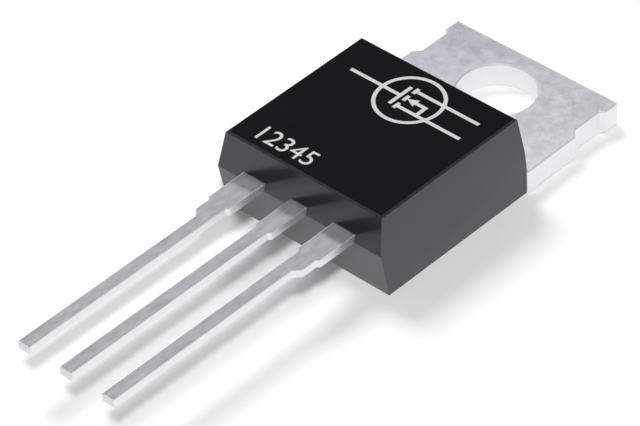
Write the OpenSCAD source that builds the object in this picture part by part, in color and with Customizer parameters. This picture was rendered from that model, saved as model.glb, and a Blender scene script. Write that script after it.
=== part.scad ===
// Power transistor in a flat moulded package with a metal mounting tab and three straight leads.
// The origin is the centre of the mounting hole, on the mounting face.
// X runs across the package, Y points to the free end of the tab, Z points away from the mounting face.
// The leads leave the body towards negative Y. All sizes are in millimetres.

/* [Moulded body] */
// Width of the package, across the tab next to the body
package_w = 10.0; // [9.6:0.02:10.7]
// Set-back of each long side of the body from the side of the tab, at the parting line
body_margin = 0.075; // [0.04:0.005:0.15]
// Thickness of the package, from the mounting face to the top face
body_t = 4.35; // [4.1:0.05:4.8]
// Distance from the hole's centre to the edge of the body on top of the tab
body_start = 3.58; // [3.3:0.02:4.1]
// Length of the body along the mounting face
body_l = 9.2; // [8.8:0.05:10]
// Set-back of the body beside the tab, below the tab's top face
body_step = 0.08; // [0:0.02:0.2]
// Lean of the tab-side face, from the tab up to the top face
tab_side_lean = 0.34; // [0.1:0.01:0.5]
// Lean of each long side, from the parting line up to the top face
side_lean = 0.26; // [0.05:0.01:0.4]
// Lean of each long side, from the parting line down to the mounting face
side_underlean = 0.02; // [0:0.01:0.2]
// Lean of the lead-side face, from the parting line up to the top face
lead_side_lean = 0.43; // [0.1:0.01:0.6]
// Lean of the lead-side face, from the parting line down to the mounting face
lead_side_underlean = 0.44; // [0.1:0.01:0.6]
// Bevel along the four top edges
top_bevel = 0.1; // [0.02:0.02:0.2]

/* [Mounting tab] */
// Thickness of the tab and of the pad inside the body
tab_t = 1.25; // [1.1:0.01:1.45]
// Distance from the hole's centre to the free end of the tab
tab_end = 2.82; // [2.5:0.01:3.1]
// Set-back of each ear at the free end from the side of the tab
ear_margin = 0.12; // [0:0.01:0.2]
// Length of each ear's straight side
ear_l = 0.88; // [0.5:0.02:1.2]
// Depth of the notch on each side of the tab, beside the hole
notch_d = 0.34; // [0.25:0.01:0.5]
// Distance from the hole's centre to the inner end of the notches, towards the body
waist_end = 0.02; // [-0.5:0.02:0.6]
// Bevel at the two corners of the free end
tab_corner = 0.06; // [0.02:0.01:0.3]
// Diameter of the mounting hole
hole_d = 3.82; // [3.5:0.02:4.1]
// Break of the edges where the press sheared the tab
edge_break = 0.05; // [0.01:0.01:0.1]

/* [Pad inside the body] */
// Thickness of the moulded wall on each side of the face that shows on the underside
pad_wall = 0.975; // [0.6:0.025:1.4]
// Length of that face, from the body's tab side
pad_l = 5.9; // [5.4:0.1:6.4]
// Overhang of the locking lip along the pad's upper edge
lip = 0.3; // [0.1:0.05:0.4]
// Thickness of the locking lip
lip_t = 0.6; // [0.3:0.05:0.8]
// Width of the moisture groove across the pad's top face
groove_w = 0.4; // [0.2:0.05:0.6]
// Depth of the moisture groove
groove_d = 0.15; // [0.05:0.01:0.3]
// Distance of the groove's middle from the body's edge on the tab
groove_in = 0.75; // [0.5:0.05:0.9]

/* [Leads] */
// Distance between neighbouring leads
pitch = 2.54; // [2.4:0.01:2.7]
// Width of a lead at its tip
lead_w = 0.68; // [0.6:0.01:0.9]
// Thickness of the leads
lead_t = 0.4; // [0.35:0.01:0.6]
// Height of the leads' underside above the mounting face
lead_z = 2.45; // [2.2:0.01:2.65]
// Length of the leads from the body's parting line
lead_l = 14.2; // [12.7:0.1:15]
// Length of the wide root of every lead, from the parting line
root_l = 2.15; // [1.8:0.05:2.5]
// Step on each side of the centre lead's root, and on the inner side of the outer leads
root_step = 0.14; // [0.05:0.01:0.25]
// Length of the shoulder on the outer leads, from the parting line
shoulder_l = 3.12; // [2.8:0.02:3.6]
// Step of that shoulder, on the outer side
shoulder_step = 0.34; // [0.2:0.01:0.5]
// Angle of the centre lead's rise from the pad
rise_angle = 60; // [45:1:75]
// Inner radius of the two bends of that rise
bend_r = 0.2; // [0.1:0.02:0.3]

/* [Bond posts] */
// Distance of the posts' ends from the parting line
post_reach = 2.6; // [2.4:0.05:2.8]
// Length of the posts
post_l = 1.3; // [1:0.05:1.5]
// Distance of a post's inner side from the middle of the package
post_inner = 1.5; // [1.3:0.05:1.7]
// Thickness of the moulded wall outside the gate post
gate_post_wall = 1.225; // [0.7:0.025:1.25]
// Thickness of the moulded wall outside the source post
source_post_wall = 0.825; // [0.7:0.025:1.2]
// Bevel at the posts' corners
post_corner = 0.25; // [0.05:0.05:0.4]
// Diameter of the anchor hole in each outer lead
anchor_d = 0.55; // [0.3:0.05:0.7]
// Distance of the anchor holes from the parting line
anchor_in = 0.85; // [0.6:0.05:0.95]

/* [Chip and wires] */
// Width of the chip
die_w = 4.2; // [3:0.1:5]
// Length of the chip
die_l = 3.4; // [2.4:0.1:3.6]
// Thickness of the chip
die_t = 0.22; // [0.15:0.01:0.3]
// Distance of the chip's middle from the body's edge on the tab
die_in = 3.5; // [3.4:0.05:3.7]
// Thickness of the solder under the chip
solder_t = 0.05; // [0.02:0.01:0.1]
// Width of the solder's margin round the chip
solder_margin = 0.12; // [0.05:0.01:0.2]
// Diameter of the gate wire
gate_wire_d = 0.15; // [0.1:0.01:0.2]
// Diameter of each source wire
source_wire_d = 0.38; // [0.25:0.01:0.45]
// Rise of the gate wire's loop above its chord
gate_sag = 0.7; // [0.55:0.05:0.9]
// Rise of the source wires' loops above their chords
source_sag = 0.8; // [0.6:0.05:0.95]
// Distance between the middles of the two source wires
source_wire_gap = 1.1; // [0.9:0.05:1.3]
// Distance of the source wires' feet on the chip from the middle of the package, to the right
source_bond_x = 1.05; // [0.8:0.05:1.1]
// Distance of the gate wire's foot from the chip's front edge and left edge
gate_bond_in = 0.5; // [0.3:0.05:0.7]

/* [Hidden] */
$fn = 96;
over = 1;                                   // how far a cutter or a joined piece runs past a face

// Widths across the package
body_w = package_w - 2 * body_margin;
ear_w = package_w - 2 * ear_margin;
waist_w = package_w - 2 * notch_d;
pad_w = body_w - 2 * pad_wall;
gate_post_outer = body_w / 2 - gate_post_wall;
source_post_outer = body_w / 2 - source_post_wall;

// Planes and edges of the body
part_z = lead_z;                            // the mould halves part at the leads' underside
y_tab_side = -body_start;
y_front_foot = y_tab_side - body_l;         // lead-side edge on the mounting face
y_part = y_front_foot - lead_side_underlean;
y_front_top = y_part + lead_side_lean;
y_step = y_tab_side - body_step;

// Planes of the lead frame
y_tip = y_part - lead_l;
y_pad_end = y_step - pad_l;
y_root = y_part - root_l;
y_shoulder = y_part - shoulder_l;
centre_w = lead_w + 2 * root_step;
lead_top = lead_z + lead_t;

// Places of the chip and the bonds
die_y = y_tab_side - die_in;
die_z = tab_t + solder_t;
die_top = die_z + die_t;
post_y = y_part + post_reach - post_l / 2;
post_foot_y = y_part + post_reach - post_l;
outer_root = pitch + lead_w / 2 + shoulder_step + root_step;
gate_post_x = -(post_inner + gate_post_outer) / 2;
source_post_x = (post_inner + source_post_outer) / 2;
gate_die = [-die_w / 2 + gate_bond_in, die_y - die_l / 2 + gate_bond_in, die_top];
source_die = [source_bond_x, die_y, die_top];

// The flattened foot of a bond wire, in wire diameters
foot_round = 0.75;                          // radius of its rounded back
foot_high = 0.55;                           // height
foot_long = 1.9;                            // length
foot_room = 2.5;                            // reach of the cut that makes its underside flat

// A flat outline in X and Y raised between two heights
module plate(points, low, high)
    translate([0, 0, low]) linear_extrude(high - low) polygon(points);

// The right half of an outline, from far end to near end, with its mirror image on the left
function both_sides(right) =
    concat(right, [for (i = [len(right) - 1 : -1 : 0]) [-right[i].x, right[i].y]]);

// Half the width of the body at a height above the parting line, where the long sides lean in
function upper_half_w(z) = body_w / 2 - side_lean * (z - part_z) / (body_t - part_z);
// Place of the lead-side face at a height above the parting line
function front_y(z) = y_part + lead_side_lean * (z - part_z) / (body_t - part_z);
// Place of the tab-side face at a height above the tab
function back_y(z) = y_tab_side - tab_side_lean * (z - tab_t) / (body_t - tab_t);

// The body's outer form: a profile across the package and one along it, leaning from the parting line
module body_form() {
    bevel_z = body_t - top_bevel;
    across = both_sides([
        [body_w / 2 - side_underlean, 0],
        [body_w / 2, part_z],
        [upper_half_w(bevel_z), bevel_z],
        [upper_half_w(bevel_z) - top_bevel, body_t]]);
    along = [
        [y_step, 0], [y_step, tab_t], [y_tab_side, tab_t],
        [back_y(bevel_z), bevel_z], [back_y(bevel_z) - top_bevel, body_t],
        [front_y(bevel_z) + top_bevel, body_t], [front_y(bevel_z), bevel_z],
        [y_part, part_z], [y_front_foot, 0]];
    intersection() {
        translate([0, y_tab_side + over, 0]) rotate([90, 0, 0])
            linear_extrude(body_l + lead_side_underlean + 2 * over) polygon(across);
        rotate([90, 0, 90]) translate([0, 0, -body_w])
            linear_extrude(2 * body_w) polygon(along);
    }
}

// Cuts a small 45 degree break along the straight edge between two points at one height
module break_edge(a, b, z) {
    run = b - a;
    translate([a.x, a.y, z]) rotate([0, 0, atan2(run.y, run.x)]) rotate([0, 90, 0])
        rotate([0, 0, 45]) translate([0, 0, norm(run) / 2])
            cube([edge_break * sqrt(2), edge_break * sqrt(2), norm(run)], center = true);
}

// Outline of the tab outside the body: ears at the free end, a notch on each side, then the full width
function tab_outline() = both_sides([
    [ear_w / 2 - tab_corner, tab_end],
    [ear_w / 2, tab_end - tab_corner],
    [ear_w / 2, tab_end - ear_l],
    [waist_w / 2, tab_end - ear_l - (ear_w - waist_w) / 2],
    [waist_w / 2, waist_end],
    [package_w / 2, waist_end - notch_d],
    [package_w / 2, y_step]]);

// The tab with its hole, and the broken edges of both
module tab() {
    outline = tab_outline();
    last = len(outline) - 1;
    difference() {
        plate(outline, 0, tab_t);
        translate([0, 0, -over]) cylinder(d = hole_d, h = tab_t + 2 * over);
        translate([0, 0, tab_t - edge_break])
            cylinder(d1 = hole_d, d2 = hole_d + 2 * (edge_break + over), h = edge_break + over);
        for (i = [0 : last], z = [0, tab_t]) {
            a = outline[i];
            b = outline[(i + 1) % (last + 1)];
            if (a.y > y_step || b.y > y_step) break_edge(a, b, z);
        }
    }
}

// The pad inside the body: the face that shows below, the locking lip above it and the moisture groove
module pad() {
    half = pad_w / 2;
    into_tab = y_step + over;
    difference() {
        union() {
            translate([-half, y_pad_end, 0]) cube([pad_w, into_tab - y_pad_end, tab_t]);
            translate([-half - lip, y_pad_end - lip, tab_t - lip_t])
                cube([pad_w + 2 * lip, into_tab - y_pad_end + lip, lip_t]);
        }
        translate([-body_w / 2, y_tab_side - groove_in - groove_w / 2, tab_t - groove_d])
            cube([body_w, groove_w, groove_d + over]);
    }
}

// One bend of the centre lead: a sector of a ring about an axis along X
module bend(centre, from_angle, turn)
    rotate([90, 0, 90]) translate([centre.x, centre.y, -centre_w / 2])
        rotate([0, 0, from_angle]) rotate_extrude(angle = turn)
            translate([bend_r, 0]) square([lead_t, centre_w]);

// The rise that carries the centre lead from the pad's top face up to the level of the other leads
module rise() {
    mid_r = bend_r + lead_t / 2;
    low = [y_pad_end - lip, tab_t - lead_t / 2];
    climb = lead_z + lead_t / 2 - low.y;
    slope_l = (climb - 2 * mid_r * (1 - cos(rise_angle))) / sin(rise_angle);
    heading = [-cos(rise_angle), sin(rise_angle)];
    low_centre = low + [0, mid_r];
    slope_start = low_centre + mid_r * [-sin(rise_angle), -cos(rise_angle)];
    slope_end = slope_start + slope_l * heading;
    high_centre = slope_end + mid_r * [-sin(rise_angle), -cos(rise_angle)];
    bend(low_centre, -90 - rise_angle, rise_angle);
    bend(high_centre, 90 - rise_angle, rise_angle);
    translate([0, slope_start.x, slope_start.y]) rotate([-rise_angle, 0, 0])
        translate([-centre_w / 2, -slope_l, -lead_t / 2]) cube([centre_w, slope_l, lead_t]);
    plate(both_sides([
        [centre_w / 2, high_centre.x],
        [centre_w / 2, y_root],
        [lead_w / 2, y_root - root_step],
        [lead_w / 2, y_tip]]), lead_z, lead_top);
}

// The tab, the pad and the centre lead are one stamping
module heat_spreader() color([0.77, 0.77, 0.79]) {
    tab();
    pad();
    rise();
}

// A lead beside the centre one, drawn on the right: bond post, anchor hole, root, shoulder and tip
module outer_lead(post_outer) {
    inner = pitch - lead_w / 2;
    outer = pitch + lead_w / 2;
    difference() {
        plate([
            [inner, y_tip],
            [inner, y_root - root_step],
            [inner - root_step, y_root],
            [inner - root_step, post_foot_y],
            [post_inner, post_foot_y],
            [post_inner, post_foot_y + post_l - post_corner],
            [post_inner + post_corner, post_foot_y + post_l],
            [post_outer - post_corner, post_foot_y + post_l],
            [post_outer, post_foot_y + post_l - post_corner],
            [post_outer, post_foot_y],
            [outer_root, post_foot_y],
            [outer_root, y_root],
            [outer_root - root_step, y_root - root_step],
            [outer_root - root_step, y_shoulder],
            [outer, y_shoulder - shoulder_step],
            [outer, y_tip]], lead_z, lead_top);
        translate([(inner - root_step + outer_root) / 2, y_part + anchor_in, lead_z - over])
            cylinder(d = anchor_d, h = lead_t + 2 * over);
    }
}

module gate_lead() color([0.77, 0.77, 0.79]) mirror([1, 0, 0]) outer_lead(gate_post_outer);

module source_lead() color([0.77, 0.77, 0.79]) outer_lead(source_post_outer);

// A flat block that lies on the pad's top face, centred on the chip
module chip_block(margin, low, height)
    translate([-die_w / 2 - margin, die_y - die_l / 2 - margin, low])
        cube([die_w + 2 * margin, die_l + 2 * margin, height]);

module silicon_die() color([0.35, 0.36, 0.4]) chip_block(0, die_z, die_t);

module die_solder() color([0.62, 0.62, 0.6]) chip_block(solder_margin, tab_t, solder_t);

// The flattened foot of a wire, pressed down on a face and pointing along a heading
module foot(place, heading, wire_d) {
    translate(place) rotate([0, 0, heading])
        translate([-foot_long * wire_d / 2, 0, (foot_high - foot_round) * wire_d])
            rotate([0, 90, 0]) cylinder(r = foot_round * wire_d, h = foot_long * wire_d);
}

// Space below a face, round one foot of a wire
module under_foot(place, wire_d) {
    reach = foot_room * wire_d;
    translate(place - [reach, reach, reach]) cube([2 * reach, 2 * reach, reach]);
}

// A bond wire: one arc between two points on two faces, with a flattened foot on each
module bond_wire(start, finish, wire_d, sag) {
    run = finish - start;
    flat_run = norm([run.x, run.y]);
    chord = norm(run);
    heading = atan2(run.y, run.x);
    climb_angle = atan2(run.z, flat_run);
    arc_r = (chord * chord / 4 + sag * sag) / (2 * sag);
    half_angle = asin(chord / 2 / arc_r);
    difference() {
        union() {
            translate(start) rotate([0, 0, heading]) rotate([0, -climb_angle, 0]) rotate([90, 0, 0])
                translate([chord / 2, sag - arc_r, 0]) rotate([0, 0, 90 - half_angle])
                    rotate_extrude(angle = 2 * half_angle) translate([arc_r, 0]) circle(d = wire_d);
            foot(start, heading, wire_d);
            foot(finish, heading, wire_d);
        }
        under_foot(start, wire_d);
        under_foot(finish, wire_d);
    }
}

module gate_wire() color([0.8, 0.8, 0.8])
    bond_wire(gate_die, [gate_post_x, post_y, lead_top], gate_wire_d, gate_sag);

// The source wires lie side by side; the offset is measured from their middle
module source_wire(offset) color([0.8, 0.8, 0.8])
    bond_wire(source_die + [offset, 0, 0], [source_post_x + offset, post_y, lead_top],
        source_wire_d, source_sag);

module source_wire_inner() source_wire(-source_wire_gap / 2);

module source_wire_outer() source_wire(source_wire_gap / 2);

// The body is moulded round everything else, so all of that is cut out of it
module moulded_body() color([0.1, 0.12, 0.12]) difference() {
    body_form();
    heat_spreader();
    gate_lead();
    source_lead();
    silicon_die();
    die_solder();
    gate_wire();
    source_wire_inner();
    source_wire_outer();
}

moulded_body();
heat_spreader();
gate_lead();
source_lead();
silicon_die();
die_solder();
gate_wire();
source_wire_inner();
source_wire_outer();
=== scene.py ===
"""The looks of a power transistor in a flat moulded package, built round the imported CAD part."""
import math

import bmesh
import bpy
from mathutils import Matrix, Vector


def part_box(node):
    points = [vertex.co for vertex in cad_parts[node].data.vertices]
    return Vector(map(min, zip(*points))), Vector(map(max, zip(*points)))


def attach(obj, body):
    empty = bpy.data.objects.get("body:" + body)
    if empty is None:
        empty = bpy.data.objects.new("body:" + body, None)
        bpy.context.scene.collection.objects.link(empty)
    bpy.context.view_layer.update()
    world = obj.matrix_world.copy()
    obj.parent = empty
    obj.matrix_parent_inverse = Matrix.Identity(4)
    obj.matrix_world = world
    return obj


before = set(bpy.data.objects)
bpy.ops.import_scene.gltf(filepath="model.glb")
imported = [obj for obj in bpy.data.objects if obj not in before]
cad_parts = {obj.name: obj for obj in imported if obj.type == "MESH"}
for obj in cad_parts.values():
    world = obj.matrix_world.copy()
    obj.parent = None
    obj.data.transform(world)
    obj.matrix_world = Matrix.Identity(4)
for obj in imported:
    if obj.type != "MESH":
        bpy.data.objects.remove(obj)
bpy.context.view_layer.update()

MM = 0.001
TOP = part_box("moulded_body")[1].z
LEAD_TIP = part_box("gate_lead")[0].y
LEVEL_MARGIN = 0.01 * MM
LEAD_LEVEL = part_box("gate_lead")[0].z - LEVEL_MARGIN
TIP_DEPTH = 0.05 * MM

# The photograph's camera, fitted to the part's edges. Angles are in degrees.
PHOTO_WIDTH = 640
CAMERA_AZIMUTH = 45.28
CAMERA_ELEVATION = 39.79
CAMERA_ROLL = -3.40
CAMERA_DISTANCE = 170.7 * MM
CAMERA_TARGET = Vector((-0.406, -11.474, 1.0)) * MM
FOCAL_PIXELS = 3842
SENSOR_WIDTH = 36

# Light on a level white surface adds up to about 1: the two soft suns give these shares, the sky the rest
RIGHT_SUN = {"azimuth": 47, "elevation": 55, "share": 0.43, "spread": 8}
LEFT_SUN = {"azimuth": -107, "elevation": 53, "share": 0.38, "spread": 22}
# The sky's grey level against the sine of the elevation: white horizon, dim ring, soft band, dim top
SKY = [(0.0, 1.0), (0.03, 1.0), (0.07, 0.08), (0.42, 0.08), (0.5, 0.43), (0.76, 0.43),
       (0.84, 0.12), (1.0, 0.12)]

# The floor's side in metres, and its drop below the mounting face in millimetres
FLOOR_SIZE = 4.0
FLOOR_DROP = 0.01
FLOOR_ALBEDO = 0.95
FLOOR_GLOW = 0.05
FLOOR_WHITE_IN_GLOSS = 0.8

# Shading: an edge that turns further than this, in degrees, stays sharp
CREASE_ANGLE = 12
# Edges that turn further than this, in degrees, are rounded by these widths, in millimetres
ROUNDED_ANGLE = 30
METAL_ROUNDING = 0.03
BODY_ROUNDING = 0.05
WELD_DISTANCE = 0.0005

# How upright or level a surface stands, by the size of its direction's Z: 0 is upright, 1 is level
METAL_SIDE = 0.25
METAL_EDGE = (0.28, 0.999)
BODY_EDGE = (0.34, 0.9)

# Printed marks on the top face, in millimetres: plain digits and the plain sign for a transistor
MARK_STROKE = 0.19
MARK_RISE = 0.004
DIGITS = "12345"
DIGITS_PLACE = (-3.65, -12.35)
DIGITS_SIZE = 1.42
SIGN_CENTRE = Vector((0.15, -6.0))
SIGN_RADIUS = 1.62
SIGN_RING_POINTS = 64
SIGN_LEFT, SIGN_RIGHT = -3.4, 3.7
GATE_X = -0.55
GATE_HALF = 0.75
CHANNEL_X = -0.2
CHANNEL_ROWS = (-0.65, 0.0, 0.65)
CHANNEL_HALF = 0.21
TIE_X = 0.95
ARROW_LENGTH = 0.5
ARROW_HALF = 0.26
ARROW_POINT = 0.02


def direction(azimuth, elevation):
    """Unit vector from the object towards that azimuth and elevation, in degrees. Azimuth 90 is +X."""
    a, e = math.radians(azimuth), math.radians(elevation)
    return Vector((math.sin(a) * math.cos(e), -math.cos(a) * math.cos(e), math.sin(e)))


def add_object(name, data):
    thing = bpy.data.objects.new(name, data)
    bpy.context.scene.collection.objects.link(thing)
    return thing


def node(tree, kind, inputs=None, **settings):
    """Adds a shader node. An input is a number, a colour or the output socket of another node."""
    made = tree.nodes.new("ShaderNode" + kind)
    for name, value in settings.items():
        setattr(made, name, value)
    for name, value in (inputs or {}).items():
        socket = made.inputs[name]
        if isinstance(value, bpy.types.NodeSocket):
            tree.links.new(value, socket)
        else:
            socket.default_value = value
    return made


def math_node(tree, operation, a, b=0.0):
    return node(tree, "Math", {0: a, 1: b}, operation=operation).outputs[0]


def between(tree, value, low, high):
    """1 where the value lies between the two, 0 elsewhere."""
    return math_node(tree, "MULTIPLY", math_node(tree, "GREATER_THAN", value, low),
                     math_node(tree, "LESS_THAN", value, high))


def map_range(tree, value, low, high, from_low=0.0, from_high=1.0):
    return node(tree, "MapRange", {"Value": value, "From Min": from_low, "From Max": from_high,
                                   "To Min": low, "To Max": high}).outputs[0]


def rgba(colour):
    return colour if isinstance(colour, bpy.types.NodeSocket) else (*colour, 1.0)


def mix_colour(tree, share, a, b):
    return node(tree, "MixRGB", {"Fac": share, "Color1": rgba(a), "Color2": rgba(b)}).outputs[0]


def scale_colour(tree, colour, factor):
    return node(tree, "VectorMath", {0: colour, 3: factor}, operation="SCALE").outputs[0]


def mix_value(tree, share, a, b):
    return node(tree, "Mix", {"Factor": share, "A": a, "B": b}).outputs[0]


def ramp(tree, value, stops):
    """A colour ramp from (position, grey level or colour) stops."""
    made = node(tree, "ValToRGB", {"Fac": value})
    elements = made.color_ramp.elements
    while len(elements) < len(stops):
        elements.new(1.0)
    for element, (position, level) in zip(elements, stops):
        element.position = position
        element.color = (*level, 1.0) if isinstance(level, tuple) else (level, level, level, 1.0)
    return made.outputs["Color"]


def new_material(name):
    material = bpy.data.materials.new(name)
    material.use_nodes = True
    material.node_tree.nodes.clear()
    return material, material.node_tree


def finish_material(tree, shader):
    node(tree, "OutputMaterial", {"Surface": shader})


# Camera and light


def make_camera():
    back = direction(CAMERA_AZIMUTH, CAMERA_ELEVATION)
    right = (-back).cross(Vector((0, 0, 1))).normalized()
    up = right.cross(-back)
    roll = math.radians(CAMERA_ROLL)
    rolled_right = math.cos(roll) * right + math.sin(roll) * up
    rolled_up = -math.sin(roll) * right + math.cos(roll) * up
    data = bpy.data.cameras.new("camera")
    data.sensor_width = SENSOR_WIDTH
    data.lens = FOCAL_PIXELS * SENSOR_WIDTH / PHOTO_WIDTH
    data.clip_start = 1 * MM
    data.clip_end = 10
    camera = add_object("camera", data)
    turn = Matrix((rolled_right, rolled_up, back)).transposed()
    camera.matrix_world = Matrix.Translation(CAMERA_TARGET + back * CAMERA_DISTANCE) @ turn.to_4x4()
    bpy.context.scene.camera = camera


def make_sun(name, azimuth, elevation, share, spread):
    data = bpy.data.lights.new(name, "SUN")
    data.energy = share * math.pi / math.sin(math.radians(elevation))
    data.angle = math.radians(spread)
    sun = add_object(name, data)
    sun.rotation_mode = "QUATERNION"
    sun.rotation_quaternion = direction(azimuth, elevation).to_track_quat("Z", "Y")


def make_sky():
    world = bpy.data.worlds.new("studio")
    bpy.context.scene.world = world
    world.use_nodes = True
    tree = world.node_tree
    tree.nodes.clear()
    height = node(tree, "SeparateXYZ", {0: node(tree, "TexCoord").outputs["Generated"]}).outputs["Z"]
    shader = node(tree, "Background", {"Color": ramp(tree, height, SKY)}).outputs[0]
    node(tree, "OutputWorld", {"Surface": shader})


def make_floor():
    """A plain white floor that meets the white of the page. Glossy surfaces see faint shadows on it."""
    data = bpy.data.meshes.new("floor")
    half = FLOOR_SIZE / 2
    corners = [(-half, -half, 0), (half, -half, 0), (half, half, 0), (-half, half, 0)]
    data.from_pydata(corners, [], [(0, 1, 2, 3)])
    floor = add_object("floor", data)
    floor.location.z = -FLOOR_DROP * MM
    material, tree = new_material("floor")
    rays = node(tree, "LightPath").outputs
    seen = math_node(tree, "MAXIMUM", rays["Is Camera Ray"], rays["Is Glossy Ray"])
    seen = math_node(tree, "MAXIMUM", seen, rays["Is Transmission Ray"])
    glow = math_node(tree, "MULTIPLY", seen, FLOOR_GLOW)
    lit = node(tree, "BsdfDiffuse", {"Color": (FLOOR_ALBEDO, FLOOR_ALBEDO, FLOOR_ALBEDO, 1)}).outputs[0]
    shine = node(tree, "Emission", {"Strength": glow}).outputs[0]
    surface = node(tree, "AddShader", {0: lit, 1: shine}).outputs[0]
    white = node(tree, "Emission", {"Strength": 1.0}).outputs[0]
    in_gloss = math_node(tree, "MULTIPLY", rays["Is Glossy Ray"], FLOOR_WHITE_IN_GLOSS)
    finish_material(tree, node(tree, "MixShader", {0: in_gloss, 1: surface, 2: white}).outputs[0])
    data.materials.append(material)


# Materials


def texture_coords(tree):
    """Coordinates and surface direction in the part's own frame."""
    outputs = node(tree, "TexCoord").outputs
    place = node(tree, "SeparateXYZ", {0: outputs["Object"]}).outputs
    facing = node(tree, "SeparateXYZ", {0: outputs["Normal"]}).outputs
    return outputs["Object"], place, facing


def noise(tree, coords, size, detail=3.0, stretch=(1, 1, 1), turn=0.0):
    """Noise whose blotches are about that size, in metres, drawn out along the axes by the stretch."""
    turned = node(tree, "Mapping", {"Vector": coords, "Rotation": (0, 0, math.radians(turn))}).outputs[0]
    scale = tuple(1 / (size * s) for s in stretch)
    scaled = node(tree, "Mapping", {"Vector": turned, "Scale": scale}).outputs[0]
    return node(tree, "TexNoise", {"Vector": scaled, "Scale": 1.0, "Detail": detail}).outputs["Fac"]


def scratches(tree, coords, turn, share):
    """Fine straight hairlines in one direction: 1 on a line, 0 elsewhere. The share sets how many."""
    lines = noise(tree, coords, 0.09 * MM, 1, (1, 22, 22), turn)
    return map_range(tree, lines, 0.0, 1.0, 0.78 - share, 0.82 - share)


def moulding_compound():
    """Black filled epoxy. The sides keep the mould's gloss; on the face above the leads the reflection's
    tint is darkened towards +X, a painted shade. The top face is dull and darker."""
    material, tree = new_material("moulding_compound")
    coords, place, facing = texture_coords(tree)
    grain = noise(tree, coords, 0.06 * MM, 4)
    flow = noise(tree, coords, 1.6 * MM, 3, (1, 2, 1))
    filler = map_range(tree, noise(tree, coords, 0.045 * MM, 1), 0.0, 1.0, 0.62, 0.72)
    scuffs = math_node(tree, "MULTIPLY", scratches(tree, coords, 32, 0.06),
                       map_range(tree, noise(tree, coords, 2.2 * MM), 0.0, 0.3, 0.5, 0.65))
    on_edge = between(tree, math_node(tree, "ABSOLUTE", facing["Z"]), *BODY_EDGE)

    side_rough = map_range(tree, flow, 0.16, 0.23, 0.3, 0.7)
    side_colour = mix_colour(tree, flow, (0.006, 0.007, 0.009), (0.009, 0.0095, 0.012))
    # Painted highlight: the body's rounded edges get a slightly lighter colour than the sides
    side_colour = mix_colour(tree, on_edge, side_colour, (0.011, 0.0115, 0.013))
    bump = node(tree, "Bump", {"Height": grain, "Distance": 0.003 * MM, "Strength": 0.5}).outputs[0]
    # Painted shade: on the face above the leads the reflection's tint darkens towards +X
    above_leads = math_node(tree, "MULTIPLY", math_node(tree, "LESS_THAN", facing["Y"], -0.8),
                            math_node(tree, "GREATER_THAN", facing["Z"], 0.1))
    painted_front_shade = math_node(tree, "MULTIPLY", above_leads, map_range(tree, place["X"], 0.1, 0.5, -5 * MM, 5 * MM))
    gloss = mix_colour(tree, painted_front_shade, (0.95, 0.96, 1.0), (0.3, 0.3, 0.32))
    side = node(tree, "BsdfPrincipled", {"Base Color": side_colour, "Roughness": side_rough, "IOR": 1.7,
                                         "Specular Tint": gloss, "Normal": bump}).outputs[0]

    # Painted shade in part: the top face has a dull finish, but its darker colour and weak reflection
    # stand in for shade
    top_colour = mix_colour(tree, flow, (0.0016, 0.0036, 0.0036), (0.0026, 0.0052, 0.0052))
    top_colour = mix_colour(tree, filler, top_colour, (0.006, 0.0095, 0.0095))
    top_colour = mix_colour(tree, scuffs, top_colour, (0.016, 0.019, 0.0185))
    top_bump = node(tree, "Bump", {"Height": grain, "Distance": 0.006 * MM, "Strength": 0.7}).outputs[0]
    top = node(tree, "BsdfPrincipled", {"Base Color": top_colour, "Roughness": 0.5,
                                        "Specular IOR Level": 0.05, "Normal": top_bump}).outputs[0]
    on_top = math_node(tree, "GREATER_THAN", place["Z"], TOP - LEVEL_MARGIN)
    finish_material(tree, node(tree, "MixShader", {0: on_top, 1: side, 2: top}).outputs[0])
    return material


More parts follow.
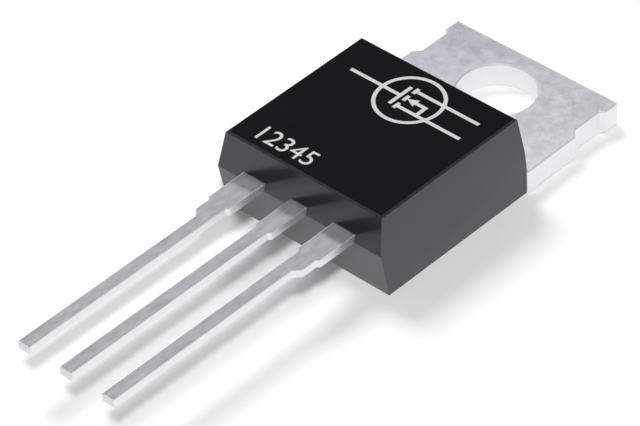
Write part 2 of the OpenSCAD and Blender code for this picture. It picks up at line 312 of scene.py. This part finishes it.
def plated_metal():
    """Tin plate over stamped copper: smooth on the leads, dull on the tab, marked by the shear on the
    sides and matt on rounded edges and lead tips."""
    material, tree = new_material("plated_metal")
    coords, place, facing = texture_coords(tree)
    on_tab = math_node(tree, "LESS_THAN", place["Z"], LEAD_LEVEL)
    level = math_node(tree, "ABSOLUTE", facing["Z"])
    on_side = math_node(tree, "LESS_THAN", level, METAL_SIDE)
    on_edge = between(tree, level, *METAL_EDGE)
    on_tip = math_node(tree, "LESS_THAN", place["Y"], LEAD_TIP + TIP_DEPTH)

    streaks = noise(tree, coords, 0.1 * MM, 3, (1, 12, 1))
    blotches = noise(tree, coords, 0.32 * MM, 3, (1, 2.5, 1))
    grain = noise(tree, coords, 0.1 * MM, 2)
    cloud = noise(tree, coords, 0.5 * MM, 4)
    shear = noise(tree, coords, 0.07 * MM, 3, (1, 1, 10))
    mottle = mix_value(tree, 0.45, cloud, grain)
    hairlines = math_node(tree, "MAXIMUM", scratches(tree, coords, 20, 0.03),
                          scratches(tree, coords, -55, 0.02))
    hairlines = math_node(tree, "MULTIPLY", hairlines, on_tab)

    lead_colour = mix_colour(tree, map_range(tree, blotches, 0.0, 1.0, 0.3, 0.7),
                             (0.66, 0.65, 0.715), (0.82, 0.81, 0.855))
    # Painted shade: the leads' colour darkens towards their tips
    lead_tone = map_range(tree, place["Y"], 0.88, 1.0, LEAD_TIP, LEAD_TIP + 8 * MM)
    lead_colour = scale_colour(tree, lead_colour, lead_tone)
    # Painted light and shade: the tab's colour is darker towards its back-left and lighter towards its
    # front-right
    across = math_node(tree, "SUBTRACT", place["X"], place["Y"])
    painted_tab_light = map_range(tree, across, 0.0, 1.0, -6.5 * MM, 7 * MM)
    tab_colour = mix_colour(tree, painted_tab_light, (0.58, 0.575, 0.645), (0.74, 0.74, 0.77))
    tab_tone = map_range(tree, mottle, 0.9, 1.1, 0.3, 0.7)
    tab_colour = scale_colour(tree, tab_colour, tab_tone)
    flat_colour = mix_colour(tree, on_tab, lead_colour, tab_colour)
    sheared_lead = mix_colour(tree, shear, (0.84, 0.84, 0.86), (0.93, 0.93, 0.94))
    sheared_lead = mix_colour(tree, on_tip, sheared_lead, (0.87, 0.87, 0.89))
    sheared_tab = mix_colour(tree, shear, (0.85, 0.85, 0.865), (0.91, 0.91, 0.925))
    side_colour = mix_colour(tree, on_tab, sheared_lead, sheared_tab)
    colour = mix_colour(tree, on_side, flat_colour, side_colour)
    colour = mix_colour(tree, on_edge, colour, (0.7, 0.7, 0.73))

    lead_rough = map_range(tree, streaks, 0.13, 0.2, 0.3, 0.7)
    tab_rough = map_range(tree, mottle, 0.3, 0.42, 0.3, 0.7)
    rough = mix_value(tree, on_tab, lead_rough, tab_rough)
    rough = mix_value(tree, hairlines, rough, 0.32)
    rough = mix_value(tree, on_side, rough, 0.33)
    matt = math_node(tree, "MAXIMUM", on_edge, on_tip)
    rough = mix_value(tree, matt, rough, 0.7)
    height = mix_value(tree, on_side, mix_value(tree, on_tab, streaks, grain), shear)
    height = math_node(tree, "SUBTRACT", height, math_node(tree, "MULTIPLY", hairlines, 0.15))
    bump = node(tree, "Bump", {"Height": height, "Distance": 0.002 * MM, "Strength": 0.4}).outputs[0]
    metallic = mix_value(tree, on_edge, 0.88, 0.55)
    shader = node(tree, "BsdfPrincipled", {"Base Color": colour, "Metallic": metallic, "Roughness": rough,
                                           "Normal": bump}).outputs[0]
    finish_material(tree, shader)
    return material


def hidden_metal(name, tint, roughness):
    """A plain metal for the pieces inside the moulding."""
    material, tree = new_material(name)
    coords, _, _ = texture_coords(tree)
    dark = tuple(0.8 * channel for channel in tint)
    colour = mix_colour(tree, noise(tree, coords, 0.3 * MM), dark, tint)
    shader = node(tree, "BsdfPrincipled", {"Base Color": colour, "Metallic": 1.0,
                                           "Roughness": roughness}).outputs[0]
    finish_material(tree, shader)
    return material


def mark_paint():
    """The pale grey that a laser leaves on the compound: a dense field of fine specks."""
    material, tree = new_material("mark_paint")
    coords, _, _ = texture_coords(tree)
    specks = noise(tree, coords, 0.05 * MM, 2)
    colour = ramp(tree, specks, [(0.3, (0.42, 0.44, 0.43)), (0.55, (0.66, 0.68, 0.67))])
    shader = node(tree, "BsdfPrincipled", {"Base Color": colour, "Roughness": 0.75,
                                           "Specular IOR Level": 0.2}).outputs[0]
    finish_material(tree, shader)
    return material


def dress(material, *names):
    """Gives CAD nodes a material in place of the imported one."""
    for name in names:
        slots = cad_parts[name].data.materials
        slots.clear()
        slots.append(material)


def edge_shading():
    """A modifier group: smooth faces, with edges that turn by more than the crease angle kept sharp."""
    group = bpy.data.node_groups.new("edge_shading", "GeometryNodeTree")
    for way in ("INPUT", "OUTPUT"):
        group.interface.new_socket("Geometry", in_out=way, socket_type="NodeSocketGeometry")
    start = group.nodes.new("NodeGroupInput")
    angle = group.nodes.new("GeometryNodeInputMeshEdgeAngle")
    sharp = group.nodes.new("FunctionNodeCompare")
    sharp.inputs["B"].default_value = math.radians(CREASE_ANGLE)
    shade = group.nodes.new("GeometryNodeSetMeshNormal")
    shade.inputs["Remove Custom"].default_value = True
    finish = group.nodes.new("NodeGroupOutput")
    group.links.new(start.outputs["Geometry"], shade.inputs["Mesh"])
    group.links.new(angle.outputs["Unsigned Angle"], sharp.inputs["A"])
    group.links.new(sharp.outputs["Result"], shade.inputs["Edge Sharpness"])
    group.links.new(shade.outputs["Mesh"], finish.inputs["Geometry"])
    return group


def soften(shading, width, *names):
    """Rounds the sharp edges of CAD nodes a little, inward, by a width in millimetres."""
    for name in names:
        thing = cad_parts[name]
        weld = thing.modifiers.new("weld", "WELD")
        weld.merge_threshold = WELD_DISTANCE * MM
        thing.modifiers.new("edge_shading", "NODES").node_group = shading
        bevel = thing.modifiers.new("soft_edges", "BEVEL")
        bevel.width = width * MM
        bevel.segments = 3
        bevel.limit_method = "ANGLE"
        bevel.angle_limit = math.radians(ROUNDED_ANGLE)
        bevel.harden_normals = True


def dress_nodes():
    metal = plated_metal()
    dress(moulding_compound(), "moulded_body")
    dress(metal, "heat_spreader", "gate_lead", "source_lead")
    dress(hidden_metal("silicon", (0.2, 0.2, 0.24), 0.2), "silicon_die")
    dress(hidden_metal("solder", (0.45, 0.45, 0.44), 0.5), "die_solder")
    dress(hidden_metal("bond_wire", (0.75, 0.75, 0.76), 0.3), "gate_wire", "source_wire_inner",
          "source_wire_outer")
    shading = edge_shading()
    soften(shading, METAL_ROUNDING, "heat_spreader", "gate_lead", "source_lead")
    soften(shading, BODY_ROUNDING, "moulded_body")


# Marks on the top face


def stroke(mesh, points, layer=0, closed=False, widths=None):
    """Adds a flat stroke with mitred corners along points in millimetres, as a thin closed slab.
    A higher layer stands a little prouder where strokes cross."""
    low, high = TOP - MARK_RISE * MM, TOP + (1 + layer / 4) * MARK_RISE * MM
    widths = widths or [MARK_STROKE] * len(points)
    last = len(points) - 1
    rows = []
    for i, point in enumerate(points):
        runs = []
        if closed or i > 0:
            runs.append((point - points[i - 1]).normalized())
        if closed or i < last:
            runs.append((points[(i + 1) % (last + 1)] - point).normalized())
        along = (runs[0] + runs[-1]).normalized()
        across = Vector((-along.y, along.x)) * widths[i] / 2 / along.dot(runs[0])
        corners = [(point + side * across, z) for side, z in ((1, low), (-1, low), (-1, high), (1, high))]
        rows.append([mesh.verts.new((flat.x * MM, flat.y * MM, z)) for flat, z in corners])
    following = rows[1:] + rows[:1] if closed else rows[1:]
    for a, b in zip(rows, following):
        for k in range(4):
            mesh.faces.new((a[k], a[(k + 1) % 4], b[(k + 1) % 4], b[k]))
    if not closed:
        mesh.faces.new(rows[0][::-1])
        mesh.faces.new(rows[-1])


def make_sign(paint):
    """The plain circuit sign of a field-effect transistor, in a ring."""
    mesh = bmesh.new()
    centre = SIGN_CENTRE
    half = MARK_STROKE / 2
    turns = (2 * math.pi * i / SIGN_RING_POINTS for i in range(SIGN_RING_POINTS))
    ring = [centre + SIGN_RADIUS * Vector((math.cos(a), math.sin(a))) for a in turns]
    stroke(mesh, ring, layer=1, closed=True)
    gate = centre + Vector((GATE_X, 0))
    stroke(mesh, [Vector((SIGN_LEFT, centre.y)), gate - Vector((half, 0))])
    stroke(mesh, [gate - Vector((0, GATE_HALF)), gate + Vector((0, GATE_HALF))])
    for row in CHANNEL_ROWS:
        bar = centre + Vector((CHANNEL_X, row))
        stroke(mesh, [bar - Vector((0, CHANNEL_HALF)), bar + Vector((0, CHANNEL_HALF))])
    source_row, tie_row, drain_row = (centre.y + row for row in CHANNEL_ROWS)
    start = centre.x + CHANNEL_X + half
    arrow_end = start + ARROW_LENGTH
    tie = centre.x + TIE_X
    for row in (source_row, drain_row):
        stroke(mesh, [Vector((start, row)), Vector((SIGN_RIGHT, row))])
    stroke(mesh, [Vector((arrow_end, tie_row)), Vector((tie, tie_row)), Vector((tie, source_row + half))])
    stroke(mesh, [Vector((start, tie_row)), Vector((arrow_end, tie_row))],
           widths=[ARROW_POINT, 2 * ARROW_HALF])
    bmesh.ops.recalc_face_normals(mesh, faces=mesh.faces)
    data = bpy.data.meshes.new("sign_mark")
    mesh.to_mesh(data)
    mesh.free()
    data.materials.append(paint)
    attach(add_object("sign_mark", data), "root")


def make_digits(paint):
    data = bpy.data.curves.new("digits_mark", "FONT")
    data.body = DIGITS
    data.size = DIGITS_SIZE * MM
    data.extrude = MARK_RISE * MM
    data.materials.append(paint)
    digits = add_object("digits_mark", data)
    digits.location = (DIGITS_PLACE[0] * MM, DIGITS_PLACE[1] * MM, TOP)
    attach(digits, "root")


make_camera()
make_sun("right_sun", **RIGHT_SUN)
make_sun("left_sun", **LEFT_SUN)
make_sky()
make_floor()
dress_nodes()
paint = mark_paint()
make_sign(paint)
make_digits(paint)

bpy.context.scene.view_settings.view_transform = "Standard"
